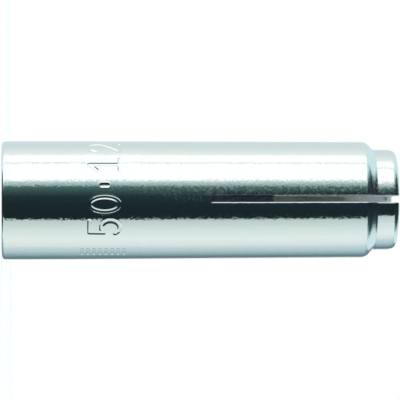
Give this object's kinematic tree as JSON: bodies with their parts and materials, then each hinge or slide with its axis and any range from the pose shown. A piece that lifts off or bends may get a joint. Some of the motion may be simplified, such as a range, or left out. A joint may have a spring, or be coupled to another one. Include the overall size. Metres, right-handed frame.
{
  "type": "drop-in anchor",
  "caption": "Internally threaded drop-in anchor: a plated steel sleeve with a slotted tip, and a cone-nosed expander plug that slides inside it.",
  "frame": {"origin": "centre of the threaded mouth's flat face, on which the anchor stands", "axes": "+Z along the sleeve's axis from the mouth to the slotted tip, +X and +Y through the middles of two neighbouring slots"},
  "size_m": [0.015, 0.015, 0.05],
  "materials": {
    "zinc_plated_steel": "bright zinc plating over turned steel, fine grain, satin to bright",
    "plug_steel": "turned steel, thinly plated, satin"
  },
  "bodies": {
    "sleeve": {"anchor_sleeve": "zinc_plated_steel"},
    "plug": {"expander_plug": "plug_steel"}
  },
  "joints": [
    {"name": "plug_drive", "type": "slide", "parent": "sleeve", "child": "plug", "axis": [0, 0, 1], "range_m": [0, 0.005]}
  ]
}
